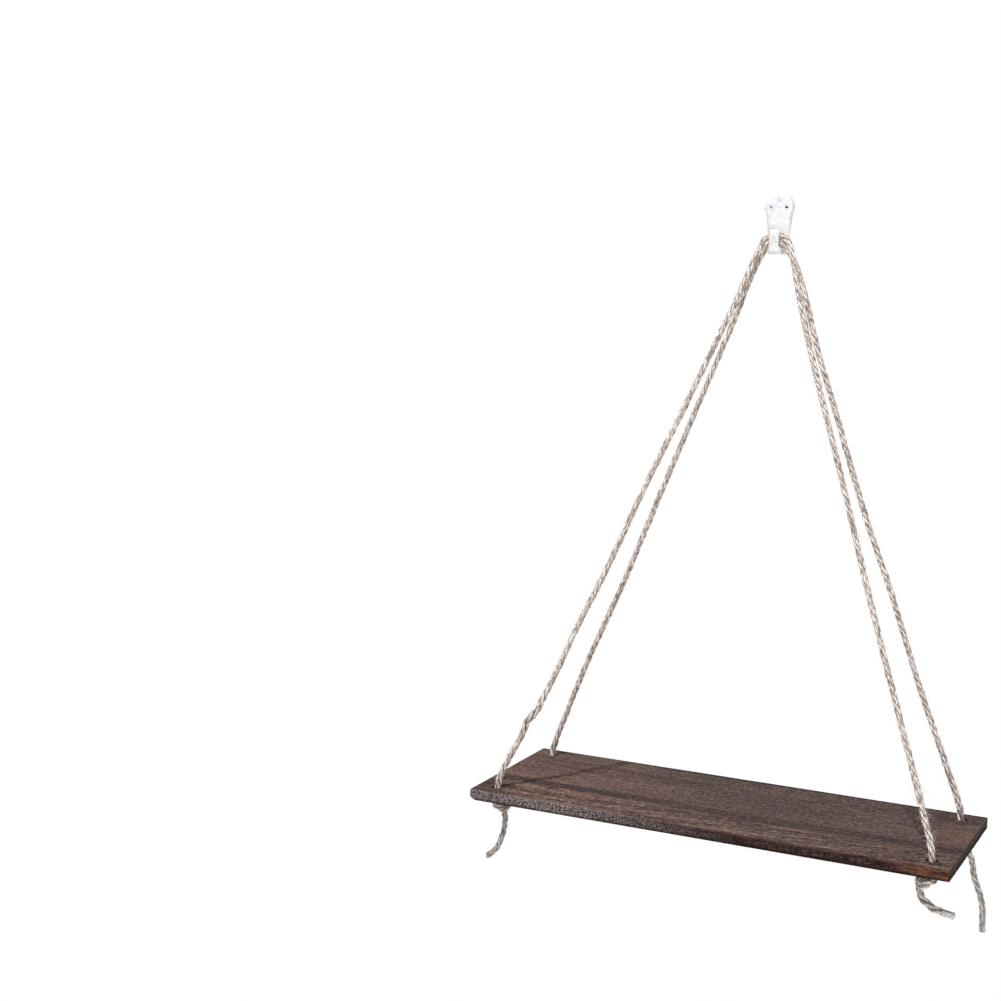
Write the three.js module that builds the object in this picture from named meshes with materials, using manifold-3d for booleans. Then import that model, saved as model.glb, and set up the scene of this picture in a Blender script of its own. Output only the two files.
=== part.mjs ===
// Hanging rope shelf: one stained board on two jute ropes that pass over one plastic wall hook.
// Millimetres, +Z up. The wall is the plane y = 0 and the shelf stands out from it along -Y.
// The origin is the middle of the hook's round head, on its back face.

import * as THREE from 'three';
import { mergeVertices } from 'three/addons/utils/BufferGeometryUtils.js';
import Module from 'manifold-3d';

const wasm = await Module();
wasm.setup();

// Board
const boardLength = 430;
const boardDepth = 160;
const boardThickness = 10;
const boardEdgeRadius = 1;
const boardCornerRadius = 1.5;
const boardDrop = 527.5; // from the middle of the hook's head down to the board's top
const holeDiameter = 10;
const holeInset = 18; // from a hole's middle to both edges of its corner

// Ropes and knots
const ropeDiameter = 5;
const knotDiameter = 16;
const knotHeight = 13;
const knotWaistDepth = 1.1; // how far the groove between the knot's two turns goes in
const tapeThickness = 0.2;
const restGap = 0.3; // between pieces that rest on each other
const turnGap = 1.4; // between a rope bend and the leg that turns beside it
const loopSlack = 1.5; // what the back bend is short of, so that the front one can turn round it

// Hook
const headDiameter = 26;
const headThickness = 7;
const headEdgeRadius = 1.6;
const plateThickness = 4.5;
const footWidth = 15;
const footCornerRadius = 2;
const hookDrop = 41.5; // from the middle of the head down to the hook's underside
const slotWidth = 10;
const lipWidth = 9;
const lipThickness = 3;
const lipTopDrop = 20; // from the middle of the head down to the lip's top
const lipSideRadius = 0.7;
const lipFootRadius = 4;
const saddleDiameter = 12;
const saddleDrop = 38.5; // from the middle of the head down to the saddle's axis

// Nails and the mould's gate mark
const nailDiameter = 1.8;
const nailGap = 0.3;
const nailEdgeDistance = 5.8; // from a nail's middle to the rim of the head
const nailReach = 9; // how far a nail's point goes into the wall
const nailPointLength = 2.6;
const nailSink = 0.5; // how deep a nail's head lies under the hook's front
const nailHeadDome = 0.25;
const gateMarkDiameter = 1.6;
const gateMarkDepth = 0.5;

const overrun = 1; // what a cutting tool reaches past the faces that it cuts

// Counts and angles
const ropeSides = 10;
const bendSteps = 8;
const arcSteps = 6;
const roundSegments = 48;
const nailSegments = 16;
const frontLeaveAngle = THREE.MathUtils.degToRad(68); // from straight up to where the front rope leaves its bend
const backLeaveAngle = THREE.MathUtils.degToRad(60);

// Places that follow from the sizes
const ropeRadius = ropeDiameter / 2;
const boardTop = -boardDrop;
const boardBottom = boardTop - boardThickness;
const holeX = boardLength / 2 - holeInset;
const frontHoleY = -boardDepth + holeInset;
const backHoleY = -holeInset;
const saddleZ = -saddleDrop;
const slotBackY = -plateThickness;
const slotFrontY = slotBackY - slotWidth;
const ropeY = Math.min((slotBackY + slotFrontY) / 2, -headThickness - ropeRadius - restGap);
const backBendRadius = saddleDiameter / 2 + restGap + ropeRadius;
const frontBendRadius = backBendRadius + ropeDiameter + restGap;
const nailCircleRadius = headDiameter / 2 - nailEdgeDistance;

// The legs, from the hook down. Each row of bows is a share of the way down, and how far the rope
// swings there out sideways and forward from the straight line between its bend and its hole.
const legs = [
  {
    name: 'front_rope_left_leg', side: -1, holeY: frontHoleY, radius: frontBendRadius, leave: frontLeaveAngle,
    bows: [
      [0.03, 0.7, 0.3], [0.06, 0, 0.3], [0.1, -2, 0.1], [0.16, -2.2, 0], [0.3, -2.6, 0], [0.45, -2.2, 0],
      [0.6, -4.2, 0], [0.72, -3.2, 0], [0.82, -4.6, 0], [0.9, -0.8, 0],
    ],
  },
  {
    name: 'front_rope_right_leg', side: 1, holeY: frontHoleY, radius: frontBendRadius, leave: frontLeaveAngle,
    bows: [
      [0.03, -0.2, 0.4], [0.06, -1.6, 0.6], [0.14, -3.4, 0], [0.24, -3.8, 0],
      [0.4, -2.7, 0], [0.6, -2.6, 0], [0.8, -1.9, 0], [0.93, -1.1, 0],
    ],
  },
  {
    name: 'back_rope_left_leg', side: -1, holeY: backHoleY, radius: backBendRadius, leave: backLeaveAngle,
    bows: [
      [0.03, 0.9, -0.3], [0.06, 2, -0.4], [0.12, 1.4, 0], [0.3, 1.4, 0],
      [0.5, 1, 0], [0.66, 0.3, 0], [0.81, 2.4, 0], [0.92, 1.6, 0],
    ],
  },
  {
    name: 'back_rope_right_leg', side: 1, holeY: backHoleY, radius: backBendRadius, leave: backLeaveAngle,
    bows: [
      [0.03, 0.9, -1], [0.06, 5, -1.2], [0.1, 4.6, -0.6], [0.15, 2.4, 0], [0.2, 0.7, 0],
      [0.3, -0.3, 0], [0.48, -2.8, 0], [0.62, -1.3, 0], [0.8, -2.1, 0], [0.92, -0.2, 0],
    ],
  },
];
const legFootRise = 9; // where a leg starts to lean, above the board
const legFootLean = 1.6; // how far it has leaned in by then
const legHoleLean = 1.7; // how far it lies towards the board's middle inside its hole

// The knots and tails. A knot's shift is how far it sits to the right of its hole. A tail's points
// are chosen by hand, in millimetres from its start under the knot.
const tails = [
  {
    name: 'front_left', side: -1, holeY: frontHoleY, knotShift: 6, startShift: 9.3, tape: false,
    points: [
      [0, 0, 0], [0, 0, -1.5], [0.7, 0, -5], [0.1, 0, -10],
      [-0.9, 0, -17.5], [-3.9, 0, -26], [-7.7, 0, -34], [-15.7, 0, -42],
    ],
  },
  {
    name: 'front_right', side: 1, holeY: frontHoleY, knotShift: -5, startShift: -8.6, tape: true,
    points: [
      [0, 0, 0], [0, 0, -1.5], [0.3, 0, -5], [2.5, 0, -9.6],
      [7.7, 0, -14.2], [14.4, 0, -17.2], [19.6, 0, -18.4],
    ],
    tapePoints: [[19.9, 0, -18.45], [24.2, 0, -19.2], [28.6, 0, -19.8]],
  },
  {
    name: 'back_left', side: -1, holeY: backHoleY, knotShift: 1, startShift: -1, tape: false,
    points: [
      [0, 0, 0], [0, 0, -1.5], [-2, -1, -6.5],
      [-7, -3, -12.5], [-14.5, -7, -16.6], [-23.5, -12.5, -18.4],
    ],
  },
  {
    name: 'back_right', side: 1, holeY: backHoleY, knotShift: 3, startShift: 5, tape: true,
    points: [
      [0, 0, 0], [0, 0, -1.5], [2.4, 0, -6], [5, 0, -13],
      [6.6, 0, -23], [10.2, 0, -33], [14, 0, -43], [16.1, 0, -52],
    ],
    tapePoints: [[16.13, 0, -52.3], [16.9, 0, -61], [17.2, 0, -68.6], [17.3, 0, -74]],
  },
];

const finishes = {
  wood: { color: 0x4f3f38, roughness: 0.72, metalness: 0 },
  rope: { color: 0xb7a593, roughness: 0.95, metalness: 0 },
  plastic: { color: 0xf2f3f4, roughness: 0.3, metalness: 0 },
  steel: { color: 0x8c8d90, roughness: 0.35, metalness: 1 },
  tape: { color: 0xd4d2cc, roughness: 0.25, metalness: 0 },
};

function piece(name, geometry, finish) {
  const mesh = new THREE.Mesh(geometry, new THREE.MeshStandardMaterial(finishes[finish]));
  mesh.name = name;
  return mesh;
}

// Solids for cutting and joining.
function solidOf(geometry) {
  const bare = geometry.clone();
  bare.deleteAttribute('normal');
  bare.deleteAttribute('uv');
  const merged = mergeVertices(bare);
  return new wasm.Manifold(new wasm.Mesh({
    numProp: 3,
    vertProperties: new Float32Array(merged.attributes.position.array),
    triVerts: new Uint32Array(merged.index.array),
  }));
}

function geometryOf(solid) {
  const { vertProperties, triVerts } = solid.getMesh();
  const geometry = new THREE.BufferGeometry();
  geometry.setAttribute('position', new THREE.BufferAttribute(vertProperties, 3));
  geometry.setIndex(new THREE.BufferAttribute(triVerts, 1));
  geometry.computeVertexNormals();
  return geometry;
}

// A shape drawn as seen from the front, x to the right and y up, made solid from one distance
// from the wall to another.
function frontExtrusion(shape, nearWall, farFromWall) {
  const geometry = new THREE.ExtrudeGeometry(shape, {
    depth: farFromWall - nearWall,
    bevelEnabled: false,
    curveSegments: arcSteps * 2,
  });
  geometry.rotateX(Math.PI / 2);
  geometry.translate(0, -nearWall, 0);
  return geometry;
}

// A round pin along Y, between two distances from the wall.
function pinAlongY(radius, nearWall, farFromWall, x, z) {
  const geometry = new THREE.CylinderGeometry(radius, radius, farFromWall - nearWall, nailSegments);
  geometry.translate(x, -(nearWall + farFromWall) / 2, z);
  return geometry;
}

function headGeometry() {
  const radius = headDiameter / 2;
  const edge = Math.min(headEdgeRadius, headThickness / 2);
  const profile = [new THREE.Vector2(0, -headThickness)];
  for (let i = 0; i <= arcSteps; i++) {
    const turn = (i / arcSteps) * Math.PI / 2;
    profile.push(new THREE.Vector2(
      radius - edge + edge * Math.sin(turn),
      -headThickness + edge - edge * Math.cos(turn),
    ));
  }
  profile.push(new THREE.Vector2(radius, 0), new THREE.Vector2(0, 0));
  return new THREE.LatheGeometry(profile, roundSegments);
}

// The plate behind the rope: as wide as the head at its middle, and narrower towards its foot.
function plateShape() {
  const top = headDiameter / 2 - headEdgeRadius / 2;
  const foot = footWidth / 2;
  const corner = Math.min(footCornerRadius, foot / 2);
  const shape = new THREE.Shape();
  shape.moveTo(-top, 0);
  shape.lineTo(-foot, -hookDrop + corner);
  shape.quadraticCurveTo(-foot, -hookDrop, -foot + corner, -hookDrop);
  shape.lineTo(foot - corner, -hookDrop);
  shape.quadraticCurveTo(foot, -hookDrop, foot, -hookDrop + corner);
  shape.lineTo(top, 0);
  shape.closePath();
  return shape;
}

// The rounded saddle that the ropes bear on.
function saddleShape() {
  const radius = saddleDiameter / 2;
  const shape = new THREE.Shape();
  shape.absarc(0, saddleZ, radius, 0, Math.PI, false);
  shape.lineTo(-radius, -hookDrop);
  shape.lineTo(radius, -hookDrop);
  shape.closePath();
  return shape;
}

// The hook's floor and upturned lip, drawn from the side: x is the distance from the wall.
function lipGeometry() {
  const front = -slotFrontY + lipThickness;
  const tip = lipThickness / 2;
  const foot = Math.min(lipFootRadius, front / 2);
  const shape = new THREE.Shape();
  shape.moveTo(0, -hookDrop);
  shape.lineTo(front - foot, -hookDrop);
  shape.absarc(front - foot, -hookDrop + foot, foot, -Math.PI / 2, 0, false);
  shape.lineTo(front, -lipTopDrop - tip);
  shape.absarc(front - tip, -lipTopDrop - tip, tip, 0, Math.PI, false);
  shape.lineTo(-slotFrontY, saddleZ);
  shape.lineTo(0, saddleZ);
  shape.closePath();
  const geometry = new THREE.ExtrudeGeometry(shape, {
    depth: lipWidth - 2 * lipSideRadius,
    bevelThickness: lipSideRadius,
    bevelSize: lipSideRadius,
    bevelOffset: -lipSideRadius,
    bevelSegments: 2,
    curveSegments: arcSteps,
  });
  geometry.translate(0, 0, -lipWidth / 2 + lipSideRadius);
  geometry.applyMatrix4(new THREE.Matrix4().makeBasis(
    new THREE.Vector3(0, -1, 0),
    new THREE.Vector3(0, 0, 1),
    new THREE.Vector3(-1, 0, 0),
  ));
  return geometry;
}

const nailPlaces = {
  top: [0, 1],
  right: [1, 0],
  bottom: [0, -1],
  left: [-1, 0],
};

function wallHook() {
  let hook = solidOf(headGeometry())
    .add(solidOf(frontExtrusion(plateShape(), 0, plateThickness)))
    .add(solidOf(frontExtrusion(saddleShape(), 0, -slotFrontY)))
    .add(solidOf(lipGeometry()));
  for (const [x, z] of Object.values(nailPlaces)) {
    hook = hook.subtract(solidOf(pinAlongY(
      nailDiameter / 2 + nailGap,
      -overrun,
      headThickness + overrun,
      x * nailCircleRadius,
      z * nailCircleRadius,
    )));
  }
  hook = hook.subtract(solidOf(pinAlongY(
    gateMarkDiameter / 2,
    headThickness - gateMarkDepth,
    headThickness + overrun,
    0,
    0,
  )));
  return piece('wall_hook', geometryOf(hook), 'plastic');
}

// A nail lies along Y with its point in the wall and its head just under the hook's front.
function hookNail(label, [x, z]) {
  const radius = nailDiameter / 2;
  const head = -headThickness + nailSink;
  const profile = [
    new THREE.Vector2(0, head - nailHeadDome),
    new THREE.Vector2(radius * Math.SQRT1_2, head - nailHeadDome * Math.SQRT1_2),
    new THREE.Vector2(radius, head),
    new THREE.Vector2(radius, nailReach - nailPointLength),
    new THREE.Vector2(0, nailReach),
  ];
  const nail = piece('hook_nail_' + label, new THREE.LatheGeometry(profile, nailSegments), 'steel');
  nail.position.set(x * nailCircleRadius, 0, z * nailCircleRadius);
  return nail;
}

// A curve whose rings fall on its own points, so that they lie close where it bends.
class RopeRoute extends THREE.CatmullRomCurve3 {
  getPointAt(share, target) {
    return this.getPoint(share, target);
  }

  getTangentAt(share, target) {
    return this.getTangent(share, target);
  }
}

function ropeGeometry(points, radius = ropeRadius, steps = points.length - 1) {
  const section = new THREE.Shape();
  section.absarc(0, 0, radius, 0, 2 * Math.PI, false);
  return new THREE.ExtrudeGeometry(section, {
    extrudePath: new RopeRoute(points),
    steps,
    bevelEnabled: false,
    curveSegments: ropeSides / 2,
  });
}

// A point on a bend over the saddle, at an angle from straight up.
function onBend(radius, angle) {
  return new THREE.Vector3(radius * Math.sin(angle), ropeY, saddleZ + radius * Math.cos(angle));
}

function ropeBend(name, radius, reach) {
  const points = [];
  for (let i = 0; i <= bendSteps; i++) {
    points.push(onBend(radius, reach * (2 * i / bendSteps - 1)));
  }
  return piece(name, ropeGeometry(points), 'rope');
}

function ropeLeg({ name, side, holeY, radius, leave, bows }) {
  const start = onBend(radius, side * leave);
  const foot = new THREE.Vector3(side * (holeX - legHoleLean - legFootLean), holeY, boardTop + legFootRise);
  const points = [start];
  for (const [share, outward, forward] of bows) {
    const point = start.clone().lerp(foot, share);
    point.x += side * outward;
    point.y -= forward;
    points.push(point);
  }
  const inHoleX = side * (holeX - legHoleLean);
  points.push(foot);
  points.push(new THREE.Vector3(inHoleX, holeY, boardTop));
  points.push(new THREE.Vector3(inHoleX, holeY, boardBottom));
  return piece(name, ropeGeometry(points), 'rope');
}

// A knot, as the round lump of its two turns, drawn up against the board.
function ropeKnot({ name, side, holeY, knotShift }) {
  const radius = knotDiameter / 2;
  const turn = knotHeight / 4;
  const profile = [new THREE.Vector2(0, -knotHeight)];
  for (const middle of [-3 * turn, -turn]) {
    for (let i = 0; i <= arcSteps; i++) {
      const angle = (i / arcSteps - 0.5) * Math.PI;
      const bulge = radius - turn + turn * Math.cos(angle);
      const waist = radius - knotWaistDepth;
      const z = middle + turn * Math.sin(angle);
      const nearWaist = Math.abs(z + knotHeight / 2) < turn;
      profile.push(new THREE.Vector2(nearWaist ? Math.max(bulge, waist) : bulge, z));
    }
  }
  profile.push(new THREE.Vector2(0, 0));
  const knot = piece(name + '_knot', new THREE.LatheGeometry(profile, 2 * ropeSides), 'rope');
  knot.geometry.rotateX(Math.PI / 2);
  knot.position.set(side * holeX + knotShift, holeY, boardBottom - restGap);
  return knot;
}

function tailPoints({ side, holeY, startShift }, offsets) {
  const startZ = boardBottom - restGap - knotHeight - restGap;
  const start = new THREE.Vector3(side * holeX + startShift, holeY, startZ);
  return offsets.map(([x, y, z]) => start.clone().add(new THREE.Vector3(x, y, z)));
}

function ropeTail(tail) {
  return piece(tail.name + '_tail', ropeGeometry(tailPoints(tail, tail.points)), 'rope');
}

function tapedEnd(tail) {
  const points = tailPoints(tail, tail.tapePoints);
  return piece(tail.name + '_taped_end', ropeGeometry(points, ropeRadius + tapeThickness), 'tape');
}

function roundedRectangle(length, depth, corner) {
  const right = length / 2;
  const shape = new THREE.Shape();
  shape.moveTo(-right + corner, -depth);
  shape.lineTo(right - corner, -depth);
  shape.absarc(right - corner, -depth + corner, corner, -Math.PI / 2, 0, false);
  shape.lineTo(right, -corner);
  shape.absarc(right - corner, -corner, corner, 0, Math.PI / 2, false);
  shape.lineTo(-right + corner, 0);
  shape.absarc(-right + corner, -corner, corner, Math.PI / 2, Math.PI, false);
  shape.lineTo(-right, -depth + corner);
  shape.absarc(-right + corner, -depth + corner, corner, Math.PI, 1.5 * Math.PI, false);
  return shape;
}

// The board, with its back edge against the wall and a rope hole in each corner.
function shelfBoard() {
  const shape = roundedRectangle(boardLength, boardDepth, boardCornerRadius);
  for (const x of [-holeX, holeX]) {
    for (const y of [frontHoleY, backHoleY]) {
      const hole = new THREE.Path();
      hole.absarc(x, y, holeDiameter / 2, 0, 2 * Math.PI, true);
      shape.holes.push(hole);
    }
  }
  const edge = Math.min(boardEdgeRadius, boardThickness / 2);
  const geometry = new THREE.ExtrudeGeometry(shape, {
    depth: boardThickness - 2 * edge,
    bevelThickness: edge,
    bevelSize: edge,
    bevelOffset: -edge,
    bevelSegments: 3,
    curveSegments: arcSteps * 2,
  });
  geometry.translate(0, 0, boardBottom + edge);
  return piece('shelf_board', geometry, 'wood');
}

const hookGroup = new THREE.Group();
hookGroup.add(wallHook());
for (const [label, place] of Object.entries(nailPlaces)) {
  hookGroup.add(hookNail(label, place));
}

const ropes = new THREE.Group();
const backReach = backLeaveAngle - (turnGap + loopSlack) / backBendRadius;
const frontReach = frontLeaveAngle - turnGap / frontBendRadius;
ropes.add(ropeBend('back_rope_bend', backBendRadius, backReach));
ropes.add(ropeBend('front_rope_bend', frontBendRadius, frontReach));
for (const leg of legs) {
  ropes.add(ropeLeg(leg));
}
for (const tail of tails) {
  ropes.add(ropeKnot(tail), ropeTail(tail));
  if (tail.tape) {
    ropes.add(tapedEnd(tail));
  }
}

const shelf = new THREE.Group();
shelf.name = 'hanging_rope_shelf';
shelf.add(hookGroup, ropes, shelfBoard());

export default shelf;
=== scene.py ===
# %% [markdown]
# # A hanging rope shelf
# One slim stained board hangs by its four corners from two jute ropes, and both ropes pass over
# one small plastic hook that is nailed to the wall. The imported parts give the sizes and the
# moving bodies. This script keeps to them, apart from a few small forms that it names where
# it makes them, and adds the look: twisted rope, tied knots, stained wood, moulded plastic,
# and the light of a product photograph.

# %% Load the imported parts
import math
import bpy
import bmesh
import numpy as np
from mathutils import Matrix, Vector


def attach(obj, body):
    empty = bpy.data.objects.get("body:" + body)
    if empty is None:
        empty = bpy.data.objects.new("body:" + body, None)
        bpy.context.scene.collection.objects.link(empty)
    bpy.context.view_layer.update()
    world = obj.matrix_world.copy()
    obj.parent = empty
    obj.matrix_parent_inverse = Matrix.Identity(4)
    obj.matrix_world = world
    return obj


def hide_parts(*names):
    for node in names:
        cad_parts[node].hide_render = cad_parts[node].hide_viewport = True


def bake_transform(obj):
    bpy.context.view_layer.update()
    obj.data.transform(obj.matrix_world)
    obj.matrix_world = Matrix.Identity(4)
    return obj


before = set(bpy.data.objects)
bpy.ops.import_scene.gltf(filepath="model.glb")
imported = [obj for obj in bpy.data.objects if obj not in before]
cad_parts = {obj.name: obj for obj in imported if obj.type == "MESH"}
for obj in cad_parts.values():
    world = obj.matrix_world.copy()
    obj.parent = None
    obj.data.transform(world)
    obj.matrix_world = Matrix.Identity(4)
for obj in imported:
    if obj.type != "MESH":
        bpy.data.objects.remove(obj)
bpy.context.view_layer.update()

# %% [markdown]
# ## Camera
# The photograph was taken from the right and a little above, with a longish lens. The place,
# lens and tilt below come from matching the board's corners and the hook's outline to the
# picture. A camera in Blender looks along its own -Z, so its matrix is built from the three
# directions that it sees as right, up and backward.

# %% Place the camera
photo_width_px = 1001
focal_px = 1764.0
sensor_width_mm = 36
camera_place = (0.473, -1.544, -0.0605)
yaw, pitch, roll = math.radians(25.68), math.radians(7.51), math.radians(-1.62)

forward = Vector((
    -math.sin(yaw) * math.cos(pitch), math.cos(yaw) * math.cos(pitch), -math.sin(pitch)))
level = Vector((math.cos(yaw), math.sin(yaw), 0))
below = forward.cross(level)
right = math.cos(roll) * level + math.sin(roll) * below
down = -math.sin(roll) * level + math.cos(roll) * below

camera = bpy.data.objects.new("camera", bpy.data.cameras.new("camera"))
camera.data.sensor_width = sensor_width_mm
camera.data.lens = focal_px * camera.data.sensor_width / photo_width_px
camera.matrix_world = Matrix((right, -down, -forward)).transposed().to_4x4()
camera.location = camera_place
bpy.context.collection.objects.link(camera)
bpy.context.scene.camera = camera
print("lens in mm:", round(camera.data.lens, 2))

# %% [markdown]
# ## The ropes' routes
# Each rope runs from its loose end up through a knot and a hole, over the hook, and down again
# the same way. A real rope is never quite straight, so each leg has a list of small bows: a
# share of the way down, then how far it swings outward and forward. The points began as those
# of the solids and were then fitted to the photograph, so near the hook and at the holes they
# lie up to 5 mm from the solids'.

# %% Sizes and the four legs
rope_diameter = 0.005
rope_radius = rope_diameter / 2
board_length, board_depth, board_thickness = 0.430, 0.160, 0.010
board_top = -0.5275
board_bottom = board_top - board_thickness
board_middle = board_top - board_thickness / 2
hole_inset = 0.018
hole_x = board_length / 2 - hole_inset
hole_radius = 0.0046
hole_lean = {
    ("front", "left"): 0.0017, ("front", "right"): 0.0002,
    ("back", "left"): 0.0001, ("back", "right"): 0.0021,
}
rope_y = -0.0101
saddle_z = -0.0385
bend_radius = {"front": 0.0141, "back": 0.0088}
leave_angle = {"front": math.radians(68), "back": math.radians(60)}
hole_y = {"front": -board_depth + hole_inset, "back": -hole_inset}
foot_inset, foot_height = 0.0012, 0.009

bows = {
    ("front", "left"): [
        (0.015, -0.0006, 0.0006), (0.03, -0.0004, 0.0004), (0.06, -0.0011, 0.0003),
        (0.1, -0.0018, 0.0001), (0.16, -0.0022, 0), (0.3, -0.0026, 0), (0.45, -0.0022, 0),
        (0.6, -0.0042, 0), (0.72, -0.0032, 0), (0.82, -0.0046, 0), (0.9, -0.0018, 0)],
    ("front", "right"): [
        (0.015, 0, 0.0004), (0.03, -0.0001, 0.0004), (0.045, -0.0006, 0.0006),
        (0.06, -0.0014, 0.0006), (0.14, -0.0034, 0), (0.24, -0.0038, 0), (0.4, -0.0027, 0),
        (0.6, -0.0026, 0), (0.8, -0.0009, 0), (0.93, 0.0004, 0)],
    ("back", "left"): [
        (0.015, 0.0016, -0.0008), (0.03, 0.0022, -0.0008), (0.045, 0.0029, -0.0006),
        (0.065, 0.0029, -0.0004), (0.085, 0.0026, -0.0002), (0.12, 0.0016, 0), (0.3, 0.0014, 0),
        (0.5, 0.001, 0), (0.66, 0.0003, 0), (0.81, 0.0024, 0), (0.92, 0.0016, 0)],
    ("back", "right"): [
        (0.015, 0.0034, -0.0012), (0.03, 0.0048, -0.0015), (0.045, 0.0054, -0.0016),
        (0.06, 0.0053, -0.0013), (0.1, 0.0046, -0.0006), (0.15, 0.0024, 0), (0.2, 0.0007, 0),
        (0.3, -0.0003, 0), (0.48, -0.0028, 0), (0.62, -0.0013, 0), (0.8, -0.0021, 0),
        (0.92, -0.0002, 0)],
}
tail_starts = {
    ("front", "left"): -hole_x + 0.0093, ("front", "right"): hole_x - 0.0086,
    ("back", "left"): -hole_x - 0.001, ("back", "right"): hole_x + 0.005,
}
tail_drop = 0.0136
tail_start_z = board_bottom - tail_drop
tail_offsets = {
    ("front", "left"): [(0.0018, -0.0028, -0.005), (0.0009, -0.0014, -0.0088), (-0.0009, 0, -0.0175),
                        (-0.0039, 0, -0.026), (-0.0077, 0, -0.034), (-0.0157, 0, -0.042)],
    ("front", "right"): [(-0.001, 0.002, -0.0006), (-0.0002, 0.0012, -0.0052), (0.0025, 0, -0.0096),
                         (0.0077, 0, -0.0142), (0.0144, 0, -0.0172), (0.0196, 0, -0.0184),
                         (0.0242, 0, -0.0192), (0.0286, 0, -0.0198)],
    ("back", "left"): [(-0.002, -0.001, -0.0065), (-0.007, -0.003, -0.0125),
                       (-0.0145, -0.007, -0.0166), (-0.0235, -0.0125, -0.0184)],
    ("back", "right"): [(0.0024, 0, -0.006), (0.005, 0, -0.013), (0.0066, 0, -0.023), (0.0102, 0, -0.033),
                        (0.014, 0, -0.043), (0.0161, 0, -0.052), (0.0169, 0, -0.061), (0.0172, 0, -0.0686),
                        (0.0173, 0, -0.074)],
}
sides = {"left": -1, "right": 1}
print("legs:", len(bows), "tails:", len(tail_offsets))

# %% [markdown]
# ## Lines through points
# A handful of points isn't a rope yet. A plain spline through them swings too wide where they
# lie close together, so a centripetal one is used, which paces itself by how far apart they
# are: it blends straight lines into curves, and those into one that meets every point. A
# second helper spaces a line's points evenly, which knots and strands both need.


# %% Curves through chosen points
def steps_of(line):
    """The distance from each point of a line to the next."""
    return np.linalg.norm(np.diff(line, axis=0), axis=1)


def in_mm(line):
    """A line's length, for printing."""
    return round(1000 * float(steps_of(line).sum()), 1)


def evenly(points, spacing):
    """The same line, with its points the same distance apart."""
    points = np.asarray(points, float)
    along = np.concatenate([[0], np.cumsum(steps_of(points))])
    wanted = np.linspace(0, along[-1], max(int(round(along[-1] / spacing)), 2) + 1)
    return np.stack([np.interp(wanted, along, points[:, axis]) for axis in range(3)], axis=1)


def part_way(a, b, t, begin, end):
    """Between a, where t is begin, and b, where t is end."""
    return (end - t) / (end - begin) * a + (t - begin) / (end - begin) * b


def through(points, steps=24):
    """A smooth line through every point."""
    points = np.asarray(points, float)
    held = np.vstack([2 * points[0] - points[1], points, 2 * points[-1] - points[-2]])
    line = []
    for four in zip(held, held[1:], held[2:], held[3:]):
        apart = [np.linalg.norm(b - a) ** 0.5 + 1e-9 for a, b in zip(four, four[1:])]
        at = np.concatenate([[0], np.cumsum(apart)])
        t = np.linspace(at[1], at[2], steps, endpoint=False)[:, None]
        lines = [part_way(four[i], four[i + 1], t, at[i], at[i + 1]) for i in range(3)]
        curves = [part_way(lines[i], lines[i + 1], t, at[i], at[i + 2]) for i in range(2)]
        line.append(part_way(*curves, t, at[1], at[2]))
    return np.vstack(line + [points[-1:]])


def on_bend(rope, angle):
    """A point of a rope over the hook, at an angle from straight up."""
    radius = bend_radius[rope]
    return np.array([radius * math.sin(angle), rope_y, saddle_z + radius * math.cos(angle)])


def leg_points(rope, hand):
    """A leg's points, from the hook to the board's underside."""
    side = sides[hand]
    start = on_bend(rope, side * leave_angle[rope])
    inward = hole_x - hole_lean[rope, hand]
    foot = np.array([side * (inward - foot_inset), hole_y[rope], board_top + foot_height])
    points = [start]
    for share, outward, ahead in bows[rope, hand]:
        points.append(start + share * (foot - start) + np.array([side * outward, -ahead, 0]))
    in_hole = [side * inward, hole_y[rope]]
    return points + [foot, np.array(in_hole + [board_top]), np.array(in_hole + [board_bottom])]


front_left = through(leg_points("front", "left"))
print("front left leg in mm:", in_mm(front_left))

# %% [markdown]
# ## Tying the knots
# Under each corner the rope is tied in an overhand knot that can't pull through its hole. A
# knot could be drawn by hand as a tangle of points, but it would never look drawn tight. Here
# a loose overhand loop is laid out by formula and then tightened as in the hand: the line
# shortens a little at a time, and wherever two stretches come closer than a squeezed rope is
# thick they push each other apart. The board's underside holds the knot down.


# %% Tighten an overhand knot
loop_size, loop_height, loop_drop = 0.0026, 0.0007, 0.002
loop_reach, loop_points = 2.2, 140
pull_share, push_share = 0.4, 0.62


def push_apart(path, touch, keep_off):
    """Moves apart the stretches of a line that lie closer than the rope is thick."""
    square = (path * path).sum(axis=1)
    between = square[:, None] + square[None, :] - 2 * path @ path.T
    first, second = np.nonzero(np.triu(between < touch * touch, keep_off + 1))
    if len(first) == 0:
        return
    gap = path[first] - path[second]
    far = np.linalg.norm(gap, axis=1) + 1e-9
    move = gap * ((touch - far) / far * push_share)[:, None]
    shift = np.zeros_like(path)
    hits = np.ones(len(path)) * 1e-9
    np.add.at(shift, first, move)
    np.add.at(shift, second, -move)
    np.add.at(hits, first, 1)
    np.add.at(hits, second, 1)
    shift[[0, -1]] = 0
    path += shift / np.maximum(hits, 1)[:, None]


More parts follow.
